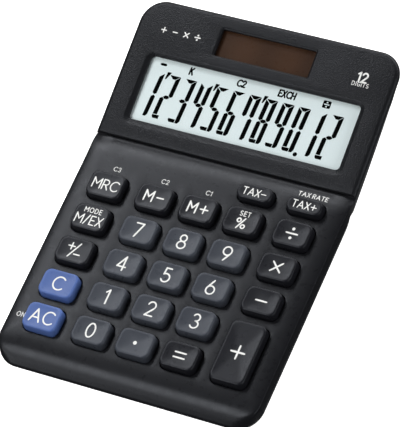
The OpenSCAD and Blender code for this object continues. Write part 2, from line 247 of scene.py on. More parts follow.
def make(name, bm, space, material, body, replaces=(), smooth_angle=40):
    """Turns a bmesh drawn in a frame into a finished piece that rides on a body."""
    bmesh.ops.remove_doubles(bm, verts=bm.verts, dist=1e-4)
    bmesh.ops.recalc_face_normals(bm, faces=bm.faces)
    mesh = bpy.data.meshes.new(name)
    bm.to_mesh(mesh)
    bm.free()
    mesh.transform(Matrix.Scale(MM, 4) @ space)
    mesh.shade_smooth()
    mesh.set_sharp_from_angle(angle=math.radians(smooth_angle))
    mesh.materials.append(material)
    piece = bpy.data.objects.new(name, mesh)
    bpy.context.scene.collection.objects.link(piece)
    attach(piece, body)
    if replaces:
        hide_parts(*replaces)
    return piece


# ---- materials ----
class Nodes:
    """A material's node tree, with the Principled shader already in it."""

    def __init__(self, name):
        self.material = bpy.data.materials.new(name)
        self.material.use_nodes = True
        self.tree = self.material.node_tree
        self.shader = self.tree.nodes["Principled BSDF"]
        self.place = self.add("ShaderNodeTexCoord").outputs["Object"]

    def add(self, kind, **values):
        node = self.tree.nodes.new(kind)
        for key, value in values.items():
            if hasattr(node, key):
                setattr(node, key, value)
            else:
                node.inputs[key.replace("_", " ")].default_value = value
        return node

    def link(self, out, to):
        self.tree.links.new(out, to)

    def drive(self, socket, out):
        """Lets a node decide one of the shader's sockets."""
        self.link(out, self.shader.inputs[socket])

    def fix(self, socket, value):
        """Sets one of the shader's sockets for the whole surface."""
        self.shader.inputs[socket].default_value = value

    def noise(self, size_mm, detail=2.0, stretch=(1, 1, 1)):
        """Noise with spots of about that size."""
        place = self.add("ShaderNodeMapping")
        place.inputs["Scale"].default_value = stretch
        self.link(self.place, place.inputs["Vector"])
        node = self.add("ShaderNodeTexNoise", Scale=1 / (size_mm * MM), Detail=detail)
        self.link(place.outputs["Vector"], node.inputs["Vector"])
        return node.outputs["Fac"]

    def cells(self, size_mm):
        node = self.add("ShaderNodeTexVoronoi", Scale=1 / (size_mm * MM))
        node.feature = "SMOOTH_F1"
        self.link(self.place, node.inputs["Vector"])
        return node.outputs["Distance"]

    def spread(self, source, low, high, edge=0.25):
        """Maps noise onto a range."""
        node = self.add("ShaderNodeMapRange")
        node.inputs["From Min"].default_value = edge
        node.inputs["From Max"].default_value = 1 - edge
        node.inputs["To Min"].default_value = low
        node.inputs["To Max"].default_value = high
        self.link(source, node.inputs["Value"])
        return node.outputs["Result"]

    def mix(self, factor, a, b):
        node = self.add("ShaderNodeMix", data_type="RGBA")
        self.link(factor, node.inputs["Factor"])
        for socket, value in (("A", a), ("B", b)):
            place = [s for s in node.inputs if s.name == socket and s.type == "RGBA"][0]
            if isinstance(value, bpy.types.NodeSocket):
                self.link(value, place)
            else:
                place.default_value = value
        return [s for s in node.outputs if s.type == "RGBA"][0]

    def bump(self, height, depth_mm, strength=1.0, below=None):
        node = self.add("ShaderNodeBump", Strength=strength, Distance=depth_mm * MM)
        self.link(height, node.inputs["Height"])
        if below is not None:
            self.link(below, node.inputs["Normal"])
        return node.outputs["Normal"]

    def worn_edges(self, colour, highlight_colour):
        """Convex edges lightened towards the given colour: a painted highlight along them."""
        edge = self.add("ShaderNodeNewGeometry").outputs["Pointiness"]
        return self.mix(self.spread(edge, 0.0, 1.0, 0.47), colour, highlight_colour)


def tone(colour, k):
    return tuple(min(1.0, c * k) for c in colour[:3]) + (1.0,)


def plastic(name, colour, roughness, grain=0.35, depth=0.012, pebble=0.0):
    """Moulded plastic: fine spark-eroded grain, slow colour and gloss changes, convex edges
    lightened as a painted highlight.

    The sizes of the grain and of the pebbles, and the depth of the grain, are in millimetres.
    """
    m = Nodes(name)
    shade = m.mix(m.noise(9.0), tone(colour, 0.92), tone(colour, 1.08))
    speck = m.mix(m.spread(m.noise(grain * 1.5, 3.0), 0.0, 1.0), tone(colour, 0.9), shade)
    # Painted highlight: the convex edges are lightened towards a brighter tone of the colour.
    m.drive("Base Color", m.worn_edges(speck, tone(colour, 1.35)))
    gloss = m.spread(m.noise(3.0, 4.0), roughness - 0.04, roughness + 0.04)
    m.drive("Roughness", gloss)
    normal = m.bump(m.noise(grain, 3.0), depth)
    if pebble:
        normal = m.bump(m.cells(pebble), depth * 2.2, below=normal)
    m.drive("Normal", normal)
    m.fix("Specular IOR Level", 0.18)
    m.fix("Specular Tint", (0.88, 0.92, 1.0, 1))
    return m.material


def clear_sheet(name, tint, see_through, specular):
    """Clear window: a thin gloss over what is behind it, with faint wipe marks."""
    m = Nodes(name)
    smear = m.noise(6.0, 4.0, (1, 3, 1))
    m.drive("Roughness", m.spread(smear, 0.042, 0.09))
    m.drive("Base Color", m.mix(smear, tone(tint, 0.9), tone(tint, 1.1)))
    m.drive("Normal", m.bump(m.noise(14.0), 0.01))
    m.fix("Alpha", 1 - see_through)
    m.fix("Specular IOR Level", specular)
    return m.material


def metal(name, colour, roughness, brush=(1, 1, 1)):
    """Plated or drawn metal with fine scratches, along an axis where brush stretches them."""
    m = Nodes(name)
    scratch = m.noise(0.25, 4.0, brush)
    m.drive("Base Color", m.mix(scratch, tone(colour, 0.85), tone(colour, 1.05)))
    m.drive("Roughness", m.spread(m.noise(1.5, 3.0), roughness - 0.06, roughness + 0.1))
    m.drive("Normal", m.bump(scratch, 0.006))
    m.fix("Metallic", 1.0)
    return m.material


def ink(name, colour, specular=0.3):
    """Screen-printed ink: slightly uneven in density and gloss."""
    m = Nodes(name)
    uneven = m.noise(0.35, 3.0)
    m.drive("Base Color", m.mix(uneven, tone(colour, 0.93), tone(colour, 1.03)))
    m.drive("Roughness", m.spread(uneven, 0.5, 0.62))
    m.drive("Normal", m.bump(uneven, 0.004))
    m.fix("Specular IOR Level", specular)
    return m.material


def display_glass(name, colour):
    """Reflective display: a faint vertical electrode pattern under a pale polariser."""
    m = Nodes(name)
    cloud = m.mix(m.noise(20.0), tone(colour, 0.97), tone(colour, 1.02))
    fine = m.noise(0.12, 2.0)
    m.drive("Base Color", m.mix(m.spread(fine, 0.0, 0.5), cloud, tone(colour, 0.95)))
    m.drive("Roughness", m.spread(m.noise(2.0), 0.38, 0.46))
    m.drive("Normal", m.bump(fine, 0.003))
    m.fix("Specular IOR Level", 0.1)
    return m.material


def solar_silicon(name, colour):
    """Amorphous silicon: brown film with cell lines scribed across it."""
    m = Nodes(name)
    bands = m.add("ShaderNodeTexWave", Scale=18.0, Distortion=0.0)
    bands.bands_direction = "X"
    m.link(m.place, bands.inputs["Vector"])
    line = m.spread(bands.outputs["Fac"], 0.0, 1.0, 0.02)
    film = m.mix(m.noise(7.0), tone(colour, 0.9), tone(colour, 1.12))
    m.drive("Base Color", m.mix(line, tone(colour, 0.72), film))
    m.drive("Roughness", m.spread(m.noise(1.0, 3.0), 0.25, 0.36))
    m.drive("Normal", m.bump(m.noise(0.2, 3.0), 0.002))
    m.fix("Specular IOR Level", 0.2)
    return m.material


def coppered_board(name):
    """Printed board: green solder mask over raised tracks."""
    m = Nodes(name)
    track = m.cells(2.2)
    mask = m.mix(m.spread(track, 0.0, 1.0), (0.02, 0.12, 0.05, 1), (0.04, 0.2, 0.08, 1))
    m.drive("Base Color", mask)
    m.drive("Roughness", m.spread(m.noise(1.0), 0.3, 0.42))
    m.drive("Normal", m.bump(track, 0.03))
    return m.material


CASE = plastic("case_black_plastic", (0.0064, 0.0066, 0.0078), 0.29, 0.3, 0.006)
PANEL = plastic("panel_grained_plastic", (0.0064, 0.0066, 0.0076), 0.34, 0.3, 0.045, pebble=0.42)
BASE = plastic("base_black_plastic", (0.0064, 0.0066, 0.0074), 0.5, 0.6, 0.03)
NUMBER_KEY = plastic("number_key_plastic", (0.033, 0.037, 0.046), 0.29, 0.3, 0.006)
FUNCTION_KEY = plastic("function_key_plastic", (0.0072, 0.0075, 0.0095), 0.29, 0.3, 0.008)
CLEAR_KEY = plastic("clear_key_plastic", (0.060, 0.104, 0.275), 0.29, 0.3, 0.008)
RUBBER = plastic("foot_rubber", (0.018, 0.018, 0.018), 0.75, 0.5, 0.03)
WHITE_FRAME = plastic("white_frame_plastic", (0.72, 0.71, 0.66), 0.5)
SILICONE = plastic("silicone_rubber", (0.5, 0.52, 0.55), 0.6, 0.8, 0.02)
EPOXY = plastic("black_epoxy", (0.012, 0.012, 0.012), 0.2, 1.5, 0.03)
CERAMIC = plastic("tan_ceramic", (0.45, 0.29, 0.12), 0.5)
SLEEVE = plastic("blue_capacitor_sleeve", (0.02, 0.05, 0.25), 0.3)
RED_WIRE = plastic("red_wire_insulation", (0.35, 0.02, 0.02), 0.4)
BLACK_WIRE = plastic("black_wire_insulation", (0.02, 0.02, 0.02), 0.4)
FILM = plastic("amber_film", (0.42, 0.17, 0.04), 0.3, 0.6, 0.01)
WHITE_INK = ink("white_print", (0.82, 0.82, 0.80))
BLACK_SEGMENT = ink("display_segment", (0.001, 0.001, 0.001), 0.0)
LCD_GLASS = display_glass("display_glass", (0.73, 0.83, 0.84))
REFLECTOR = metal("reflector_film", (0.7, 0.74, 0.74), 0.45)
WINDOW = clear_sheet("clear_window", (0.02, 0.025, 0.025), 0.97, 0.3)
SOLAR_WINDOW = clear_sheet("tinted_window", (0.03, 0.016, 0.01), 0.8, 0.15)
SILICON = solar_silicon("amorphous_silicon", (0.098, 0.043, 0.020))
STEEL = metal("plated_steel", (0.42, 0.42, 0.43), 0.32)
CELL_STEEL = metal("cell_steel", (0.6, 0.6, 0.62), 0.22, (1, 6, 1))
BRASS = metal("spring_brass", (0.62, 0.45, 0.18), 0.3, (1, 8, 1))
BOARD = coppered_board("solder_mask")

NODE_LOOKS = {
    "display_window": WINDOW,
    "solar_window": SOLAR_WINDOW,
    "solar_cell": SILICON,
    "lcd_cell": LCD_GLASS,
    "lcd_reflector": REFLECTOR,
    "lcd_frame": WHITE_FRAME,
    "lcd_flex_cable": FILM,
    "main_board": BOARD,
    "controller_chip": EPOXY,
    "ceramic_capacitors": CERAMIC,
    "storage_capacitor": SLEEVE,
    "dome_mat": SILICONE,
    "solar_leads": RED_WIRE,
    "battery_leads": BLACK_WIRE,
    "battery_cell": CELL_STEEL,
    "battery_contact_positive": BRASS,
    "battery_contact_negative": BRASS,
    "battery_cover": BASE,
    "battery_cover_screw": STEEL,
    "case_screws": STEEL,
    "board_screws": STEEL,
    "rubber_feet": RUBBER,
}


def dress_frame_nodes():
    """Gives the CAD nodes that stay in view their materials and softened edges."""
    for name, material in NODE_LOOKS.items():
        node = frame["nodes"][name]
        node.data.materials.clear()
        node.data.materials.append(material)
        if name in ("battery_cover", "rubber_feet", "case_screws", "lcd_frame"):
            edge = node.modifiers.new("soft_edges", "BEVEL")
            edge.width = 0.15 * MM
            edge.segments = 2
            edge.limit_method = "ANGLE"


# ---- the outline of the case ----
def deck_height(y):
    return FRONT_H + (y + HALF_D) * math.tan(DECK_TILT)


def head_height(y):
    return HINGE_Z + (y - HINGE_Y) * math.tan(HEAD_TILT)


def split_height(y):
    return deck_height(y) - SPLIT_DROP


def hinge_fall(y):
    """How far the deck has rolled down towards the hinge line."""
    return HINGE_DROP * clamp((y - HINGE_Y + HINGE_ROLL) / HINGE_ROLL) ** 3


class Station:
    """One place on the outline: the straight or corner it is on, and its share along it.

    end says how far it has turned from the side to the end, head how far its wall has turned from
    the deck's shape into the head's, and flare how fast the head's side wall draws in there.
    """

    def __init__(self, part, sx, sy, share):
        self.part, self.sx, self.sy, self.share = part, sx, sy, share
        turn = math.radians(90) * {"side": 0.0, "corner": share, "end": 1.0}[part]
        self.normal = Vector((sx * math.cos(turn), sy * math.sin(turn)))
        self.end = smooth({"side": 0.0, "corner": share, "end": 1.0}[part])
        self.y = self.at(0, 0, CORNER_R).y
        self.head = 1.0 if sy > 0 else smooth((self.y - HINGE_Y + FLARE_LENGTH) / FLARE_LENGTH)
        self.flare = lerp(HINGE_FLARE, REAR_FLARE, clamp((self.y - HINGE_Y) / FLARE_SPREAD))

    def at(self, side_in, end_in, r, z=0.0):
        """The place on a smaller outline, drawn in by so much at the sides and at the end."""
        w, d = HALF_W - side_in, HALF_D - end_in
        if self.part == "side":
            x, y = w, lerp(self.sy * HINGE_Y, d - r, self.share)
        elif self.part == "corner":
            x, y = w - r + r * abs(self.normal.x), d - r + r * abs(self.normal.y)
        else:
            x, y = lerp(w - r, 0, self.share), d
        return Vector((self.sx * x, self.sy * y, z))

    def mirrored(self):
        return Station(self.part, -self.sx, self.sy, self.share)


def stations(sx, sy, side, corner, end):
    """Half of the way round from one side of the hinge to the other, then its mirror image."""
    half = [Station("side", sx, sy, i / side) for i in range(side)]
    half += [Station("corner", sx, sy, i / corner) for i in range(corner)]
    half += [Station("end", sx, sy, i / end) for i in range(end + 1)]
    return half + [s.mirrored() for s in reversed(half[:-1])]


DECK_STATIONS = stations(1, -1, 32, 20, 14)
HEAD_STATIONS = stations(-1, 1, 18, 14, 12)


def edge_height(s):
    """Height at which the wall starts: the deck's edge, or the underside of the display panel."""
    if s.sy > 0:
        return head_height(s.y) - (PANEL_T + 0.1) / math.cos(HEAD_TILT)
    return deck_height(s.y) - EDGE_DROP - hinge_fall(s.y)


def wall(s, z, extra=0.0):
    """The place on the wall at height z."""
    fall = max(0.0, edge_height(s) - z)
    tuck = clamp(UNDERCUT_RATE * (split_height(s.y) - UNDERCUT_START - z), 0.0, UNDERCUT)
    side_in = lerp(tuck, s.flare * fall, s.head) + extra
    end_in = lerp(tuck, REAR_LEAN * fall, s.head) + extra
    r = max(LEAST_CORNER, CORNER_R - (side_in + end_in) / 2)
    return s.at(side_in, end_in, r, z)


def straight(a, b, n):
    return [lerp(a, b, i / n) for i in range(n + 1)]


def side_profile():
    """(inset, drop) of the deck's side edge: a slow roll, a crisp edge, a steep wall."""
    roll = [(SIDE_ROLL * (1 - k / 6), SIDE_DROP * (k / 6) ** 2) for k in range(5)]
    edge = [(1.15, 0.42), (0.62, 0.545), (0.5, EDGE_DROP), (0.42, 0.85)]
    return roll + edge + [(0.25, 2.0), (0.05, 3.9)]


def front_profile():
    """(inset, drop) of the front edge, as many as at the side: a slow roll, then a round nose."""
    slow, start, end = 4.4, math.radians(7), math.radians(54)
    r = (FRONT_ROLL - slow) / (math.sin(end) - math.sin(start))
    # The slow part tilts from its first millimetre on, at most of the slope that it ends with
    drop0 = slow * math.tan(start * 0.8)
    points = [(FRONT_ROLL, 0.0), (FRONT_ROLL - slow / 2, drop0 * 0.42)]
    for k in range(9):
        a = lerp(start, end, k / 8)
        points.append((
            FRONT_ROLL - slow - r * (math.sin(a) - math.sin(start)),
            drop0 + r * (math.cos(start) - math.cos(a)),
        ))
    return points


def deck_ring(bm, level):
    """One line of vertices along the rolled margin and the wall under it."""
    (side_in, side_drop), (front_in, front_drop) = level
    ring = []
    for s in DECK_STATIONS:
        inset = side_in if side_in > 1 else side_in * (1 - s.head)
        t = 1 - lerp(inset / SIDE_ROLL, front_in / FRONT_ROLL, s.end)
        place = s.at(SIDE_ROLL, FRONT_ROLL, FIELD_CORNER).lerp(s.at(0, 0, CORNER_R), t)
        drop = lerp(side_drop, front_drop, s.end)
        z = max(deck_height(place.y) - drop - hinge_fall(place.y), split_height(place.y) + 0.2)
        if drop > EDGE_DROP and s.head:
            place.x -= s.sx * s.head * s.flare * (edge_height(s) - z)
        ring.append((place.x, place.y, z))
    return add_ring(bm, ring)


# ---- keys, where the frame has them ----
def key_extent(node):
    """Centre, width and depth of a key's foot in the deck frame."""
    inverse = DECK.inverted()
    points = [inverse @ (v.co / MM) for v in frame["nodes"][node].data.vertices]
    xs, ys = [p.x for p in points], [p.y for p in points]
    return (
        (min(xs) + max(xs)) / 2,
        (min(ys) + max(ys)) / 2,
        max(xs) - min(xs) - 2 * (KEY_TAB + KEY_SLACK),
        max(ys) - min(ys) - 2 * KEY_SLACK,
    )


KEYS = {name: key_extent(name) for name in frame["nodes"] if name.startswith("key_")}


# ---- the two halves of the case ----
def parting(bm, line, side):
    """The rings at the parting line: the edge turned in, and the groove behind it."""
    return [
        add_ring(bm, [wall(s, split_height(s.y) + side * lift, extra) for s in line])
        for lift, extra in ((SPLIT_LIP, 0.0), (0.02, 0.1), (0.0, 0.3), (0.0, 1.2))
    ]


# The rounded edge and the wall of a key's opening: how far out from the wall, how far down
HOLE_EDGE = ((0.40, 0.0), (0.22, 0.015), (0.08, 0.09), (0.0, 0.28), (0.0, DECK_T))


def upper_case():
    bm = bmesh.new()
    rings = [deck_ring(bm, level) for level in zip(side_profile(), front_profile())]
    bridge_all(bm, rings + parting(bm, DECK_STATIONS, 1), closed=False)
    # The flat field of the deck, with a hole for each key
    edge = HALF_W - SIDE_ROLL
    z = deck_height(HINGE_Y) - HINGE_DROP
    rear = [bm.verts.new((x, HINGE_Y, z)) for x in straight(-edge, edge, 30)[1:-1]]
    holes, blocked, loose = [], [], []
    clear = KEY_GAP + 1.0
    for x, y, w, d in KEYS.values():
        hole = []
        for out, drop in HOLE_EDGE:
            gap = KEY_GAP + out
            points = [DECK @ p for p in rounded(w + 2 * gap, d + 2 * gap, KEY_CORNER + gap, x, y)]
            hole.append(add_ring(bm, [(p.x, p.y, p.z - drop - hinge_fall(p.y)) for p in points]))
        bridge_all(bm, hole)
        holes.append(hole[0])
        middle = DECK @ Vector((x, y, 0))
        blocked.append((middle.x, middle.y, w / 2 + clear, d / 2 + clear))
    # Loose points that let the field follow the roll down to the hinge
    for y in straight(HINGE_Y - HINGE_ROLL, HINGE_Y, 8)[:-1]:
        for x in straight(1.2 - edge, edge - 1.2, 28):
            if all(abs(x - cx) > w or abs(y - cy) > d for cx, cy, w, d in blocked):
                loose.append(bm.verts.new((x, y, deck_height(y) - hinge_fall(y))))
    fill(bm, rings[0] + rear, holes, loose)
    # The step down in front of the display panel, and the shelf that closes the gap under it
    line = [*(ring[-1] for ring in reversed(rings[:4])), *rear, *(ring[0] for ring in rings[:4])]
    ledge = add_ring(bm, [v.co + Vector((0, LEDGE, 0)) for v in line])
    step = add_ring(bm, [v.co - Vector((0, 0, STEP_DROP)) for v in ledge])
    shelf = add_ring(bm, [v.co + Vector((0, SHELF_D, SHELF_RISE)) for v in step])
    bridge_all(bm, [line, ledge, step, shelf], closed=False)
    # The walls of the head, under the panel
    walls = [
        add_ring(bm, [
            s.at(inset, inset, CORNER_R - inset, edge_height(s) - drop) for s in HEAD_STATIONS
        ])
        for inset, drop in ((4.0, 0.0), (0.35, 0.0), (0.12, 0.04), (0.02, 0.18))
    ]
    for k in range(1, 6):
        walls.append(add_ring(bm, [
            wall(s, lerp(edge_height(s) - 0.2, split_height(s.y) + SPLIT_LIP, k / 6))
            for s in HEAD_STATIONS
        ]))
    bridge_all(bm, walls + parting(bm, HEAD_STATIONS, 1), closed=False)
    make("case_top", bm, TABLE, CASE, "case", ["upper_case"], 50)


def lower_case():
    bm = bmesh.new()
    line = DECK_STATIONS[:-1] + HEAD_STATIONS[:-1]
    rings = list(reversed(parting(bm, line, -1)))
    for k in range(1, 7):
        rings.append(add_ring(bm, [
            wall(s, lerp(split_height(s.y) - SPLIT_LIP, FOOT_H + 0.35, k / 6)) for s in line
        ]))
    for lift, extra in ((0.08, 0.0), (0.0, 0.12)):
        rings.append(add_ring(bm, [wall(s, FOOT_H + lift, extra) for s in line]))
    bridge_all(bm, rings)
    # Sinks for the battery door, the feet and the screws
    sinks = [(rounded(*DOOR, FOOT_H), DOOR_SINK)]
    for side in (-1, 1):
        for places, (r, depth) in ((FEET, FOOT_SINK), (SCREWS, SCREW_SINK)):
            sinks += [(circle(side * x, y, r, FOOT_H), depth) for x, y in places]
    holes = []
    for points, depth in sinks:
        middle = sum(points, Vector()) / len(points)
        sink = [
            add_ring(bm, [middle + (p - middle) * scale + Vector((0, 0, up)) for p in points])
            for scale, up in ((1.02, 0.0), (1.0, 0.1), (1.0, depth))
        ]
        bridge_all(bm, sink)
        cap(bm, sink[-1], up=False)
        holes.append(sink[0])
    fill(bm, rings[-1], holes, up=False)
    make("case_base", bm, TABLE, BASE, "case", ["lower_case"], 40)


# ---- the display panel ----
def panel_outline(inset, z):
    """Ring round the panel in the head frame, with its rear corners rounded."""
    w, r = HALF_W - inset, CORNER_R - inset
    rear = (HALF_D - HINGE_Y) / math.cos(HEAD_TILT) - PANEL_REAR - inset
    front = PANEL_FRONT + PANEL_FRONT_LEAN * inset
    ring = [Vector((-w, front, z))]
    ring += [Vector((lerp(-w, w, i / 12), front, z)) for i in range(1, 12)]
    ring.append(Vector((w, front, z)))
    ring += [Vector((w, lerp(front, rear - r, i / 10), z)) for i in range(1, 10)]
    for k, cx in ((0, w - r), (1, r - w)):
        for i in range(13):
            a = math.radians(90 * (k + i / 12))
            ring.append(Vector((cx + r * math.cos(a), rear - r + r * math.sin(a), z)))
        if k == 0:
            ring += [Vector((lerp(w - r, r - w, i / 8), rear, z)) for i in range(1, 8)]
    ring += [Vector((-w, lerp(rear - r, front, i / 10), z)) for i in range(1, 10)]
    return ring


def aperture(bm, place, slope):
    """Rings of an opening: a lip, a slope down towards the window, an edge and the wall."""
    x, y, w, d = place
    sides, front, rear, deep, r = slope
    rings = []
    for share, lip, drop in ((1, 0.25, 0.0), (1, 0.0, 0.03), (0.9, 0.0, 0.1), (0.05, 0.0, deep),
                             (0.0, 0.0, deep + 0.1), (0.0, 0.0, PANEL_T)):
        wide = w + 2 * (sides * share + lip)
        long = d + (front + rear) * share + 2 * lip
        middle = y + (rear - front) * share / 2
        rings.append(add_ring(bm, rounded(wide, long, r + sides * share + lip, x, middle, -drop)))
    return rings


# The rolled edge of the panel: how far in from the outline, how far down
PANEL_EDGE = (
    (1.9, 0.0), (1.3, 0.07), (0.8, 0.28), (0.4, 0.62), (0.12, 1.05), (0.0, 1.45), (0.0, PANEL_T),
)


def display_panel():
    bm = bmesh.new()
    outer = [add_ring(bm, panel_outline(inset, -drop)) for inset, drop in PANEL_EDGE]
    lcd = aperture(bm, LCD, LCD_SLOPE)
    solar = aperture(bm, SOLAR, SOLAR_SLOPE)
    for rings in (outer, lcd, solar):
        bridge_all(bm, rings)
    fill(bm, outer[0], [lcd[0], solar[0]])
    fill(bm, outer[-1], [lcd[-1], solar[-1]], up=False)
    make("grained_panel", bm, HEAD, PANEL, "case", ["display_panel"], 32)


# ---- keys ----
# A key cap from its foot to its rim: how far out from the top, height, corner radius
KEY_LEVELS = (
    (KEY_TAPER, -2.2, 2.30), (KEY_TAPER, 0.0, 2.30), (0.44, 1.4, 2.35), (0.36, 2.5, 2.40),
    (0.28, 2.82, 2.40), (0.14, 3.05, 2.38), (-0.04, 3.17, 2.32), (-KEY_RIM, KEY_RISE, 2.20),
)


def key_body(name):
    x, y, w, d = KEYS[name]
    top_w, top_d = w - 2 * KEY_TAPER, d - 2 * KEY_TAPER
    bm = bmesh.new()
    rings = [
        add_ring(bm, rounded(top_w + 2 * out, top_d + 2 * out, r, x, y, z))
        for out, z, r in KEY_LEVELS
    ]
    # The dish of the top, shallower on the low keys
    rim_w, rim_d = top_w - 2 * KEY_RIM, top_d - 2 * KEY_RIM
    deep = DISH * min(1.0, rim_d / DISHED_D)
    for share in (0.93, 0.8, 0.64, 0.46, 0.26, 0.1):
        z = KEY_RISE - deep * (1 - share * share)
        rings.append(add_ring(bm, rounded(
            rim_w * share, rim_d * share, KEY_BOWL_R * share, x, y, z,
        )))
    bridge_all(bm, rings)
    cap(bm, rings[-1])
    if name == "key_5":
        # The raised dot that a finger finds, in the bowl of the digit
        bump = [
            add_ring(bm, circle(x, y - DOT_IN_FRONT, r, KEY_RISE - deep + up, 16))
            for r, up in ((0.38, -0.1), (0.36, 0.12), (0.25, 0.24), (0.1, 0.29))
        ]
        bridge_all(bm, bump)
        cap(bm, bump[-1])
    return bm


# ---- print ----
def arc(cx, cy, rx, ry, start, end):
    """Points along part of an ellipse, by angle in degrees."""
    n = max(4, int(abs(end - start) / 15))
    return [
        (cx + rx * math.cos(math.radians(lerp(start, end, i / n))),
         cy + ry * math.sin(math.radians(lerp(start, end, i / n))))
        for i in range(n + 1)
    ]


def dot(cx, cy, r=0.055):
    return arc(cx, cy, r, r, 0, 360)


# Each character: its width, and its strokes, at a height of 1. The colon stands for the division
# sign, the x for the multiplication sign and the tilde for plus over minus.
GLYPHS = {
    "0": (0.56, [arc(0.28, 0.5, 0.28, 0.5, 0, 360)]),
    "1": (0.24, [[(0, 0.82), (0.2, 1)], [(0.2, 1), (0.2, 0)]]),
    "2": (0.54, [arc(0.27, 0.73, 0.26, 0.27, 165, -35), [(0.483, 0.575), (0.02, 0)],
                 [(0.02, 0), (0.54, 0)]]),
    "3": (0.51, [arc(0.24, 0.76, 0.23, 0.24, 150, -90), arc(0.24, 0.26, 0.27, 0.26, 90, -150)]),
    "4": (0.6, [[(0.44, 1), (0, 0.26)], [(0, 0.26), (0.6, 0.26)], [(0.44, 1), (0.44, 0)]]),
    "5": (0.54, [[(0.47, 1), (0.11, 1)], [(0.11, 1), (0.065, 0.55)],
                 arc(0.25, 0.31, 0.29, 0.31, 130, -150)]),
    "6": (0.58, [arc(0.29, 0.3, 0.29, 0.3, 0, 360), [(0.039, 0.45), (0.36, 1)]]),
    "7": (0.52, [[(0, 1), (0.52, 1)], [(0.52, 1), (0.14, 0)]]),
    "8": (0.56, [arc(0.28, 0.77, 0.22, 0.23, 0, 360), arc(0.28, 0.27, 0.28, 0.27, 0, 360)]),
    "9": (0.58, [arc(0.29, 0.7, 0.29, 0.3, 0, 360), [(0.541, 0.55), (0.22, 0)]]),
    "A": (0.76, [[(0, 0), (0.38, 1)], [(0.38, 1), (0.76, 0)], [(0.13, 0.34), (0.63, 0.34)]]),
    "C": (0.74, [arc(0.46, 0.5, 0.46, 0.5, 46, 314)]),
    "D": (0.64, [[(0, 0), (0, 1)], [(0, 1), (0.2, 1)], arc(0.2, 0.5, 0.44, 0.5, 90, -90),
                 [(0.2, 0), (0, 0)]]),
    "E": (0.46, [[(0, 0), (0, 1)], [(0, 1), (0.46, 1)], [(0, 0.52), (0.4, 0.52)],
                 [(0, 0), (0.46, 0)]]),
    "G": (0.68, [arc(0.38, 0.5, 0.38, 0.5, 48, 350), [(0.75, 0.42), (0.42, 0.42)]]),
    "H": (0.6, [[(0, 0), (0, 1)], [(0.6, 0), (0.6, 1)], [(0, 0.5), (0.6, 0.5)]]),
    "I": (0.04, [[(0.02, 0), (0.02, 1)]]),
    "K": (0.56, [[(0, 0), (0, 1)], [(0.54, 1), (0, 0.42)], [(0.2, 0.62), (0.56, 0)]]),
    "M": (0.76, [[(0, 0), (0, 1)], [(0, 1), (0.38, 0.4)], [(0.38, 0.4), (0.76, 1)],
                 [(0.76, 1), (0.76, 0)]]),
    "N": (0.62, [[(0, 0), (0, 1)], [(0, 1), (0.62, 0)], [(0.62, 0), (0.62, 1)]]),
    "O": (0.8, [arc(0.4, 0.5, 0.4, 0.5, 0, 360)]),
    "R": (0.56, [[(0, 0), (0, 1)], [(0, 1), (0.28, 1)], arc(0.28, 0.74, 0.26, 0.26, 90, -90),
                 [(0.28, 0.48), (0, 0.48)], [(0.26, 0.48), (0.56, 0)]]),
    "S": (0.52, [arc(0.26, 0.75, 0.24, 0.25, 40, 270), arc(0.26, 0.25, 0.26, 0.25, 90, -140)]),
    "T": (0.56, [[(0, 1), (0.56, 1)], [(0.28, 1), (0.28, 0)]]),
    "X": (0.58, [[(0, 0), (0.58, 1)], [(0, 1), (0.58, 0)]]),
    "/": (0.4, [[(0, -0.05), (0.4, 1.05)]]),
    "+": (0.7, [[(0, 0.5), (0.7, 0.5)], [(0.35, 0.15), (0.35, 0.85)]]),
    "-": (0.62, [[(0, 0.5), (0.62, 0.5)]]),
    "=": (0.7, [[(0, 0.68), (0.7, 0.68)], [(0, 0.34), (0.7, 0.34)]]),
    "x": (0.66, [[(0, 0.17), (0.66, 0.83)], [(0, 0.83), (0.66, 0.17)]]),
    ":": (0.78, [[(0, 0.5), (0.78, 0.5)], dot(0.39, 0.84), dot(0.39, 0.16)]),
    "%": (0.84, [arc(0.17, 0.76, 0.16, 0.17, 0, 360), arc(0.67, 0.24, 0.16, 0.17, 0, 360),
                 [(0.66, 0.98), (0.18, 0.02)]]),
    "~": (0.92, [[(0, 0.74), (0.42, 0.74)], [(0.21, 0.53), (0.21, 0.95)],
                 [(0.74, 1.0), (0.2, 0.0)], [(0.54, 0.24), (0.92, 0.24)]]),
    ".": (0.1, [dot(0.05, 0.5, 0.06)]),
    " ": (-0.08, []),
}
LETTER_GAP = 0.24
SMALL_LETTER_GAP = 0.36
SMALL_LETTERS = 2.0
INK_T = 0.035
INK_SINK = 0.02


def stroke(bm, points, weight, height_at):
    """A flat stroke with round ends, laid on a surface."""
    points = [Vector(p) for p in points]
    r = weight / 2
    closed = (points[0] - points[-1]).length < 1e-6
    ends = [] if closed else [math.radians(a) for a in (84, 62, 34)]
    ribs = []
    for i, p in enumerate(points):
        before = points[i - 1] if i else (points[-2] if closed else p)
        after = points[i + 1] if i + 1 < len(points) else (points[1] if closed else p)
        along = (after - before).normalized()
        if i == 0:
            ribs += [(p - along * r * math.sin(a), r * math.cos(a), along) for a in ends]
        ribs.append((p, r, along))
        if i == len(points) - 1:
            ribs += [(p + along * r * math.sin(a), r * math.cos(a), along) for a in reversed(ends)]
    rings = []
    for p, half, along in ribs:
        side = Vector((-along.y, along.x))
        ring = []
        for k, lift in ((-1, -INK_SINK), (-0.72, INK_T), (0.72, INK_T), (1, -INK_SINK)):
            q = p + side * half * k
            ring.append(Vector((q.x, q.y, height_at(q.x, q.y) + lift)))
        rings.append(add_ring(bm, ring))
    bridge_all(bm, rings, closed=False)


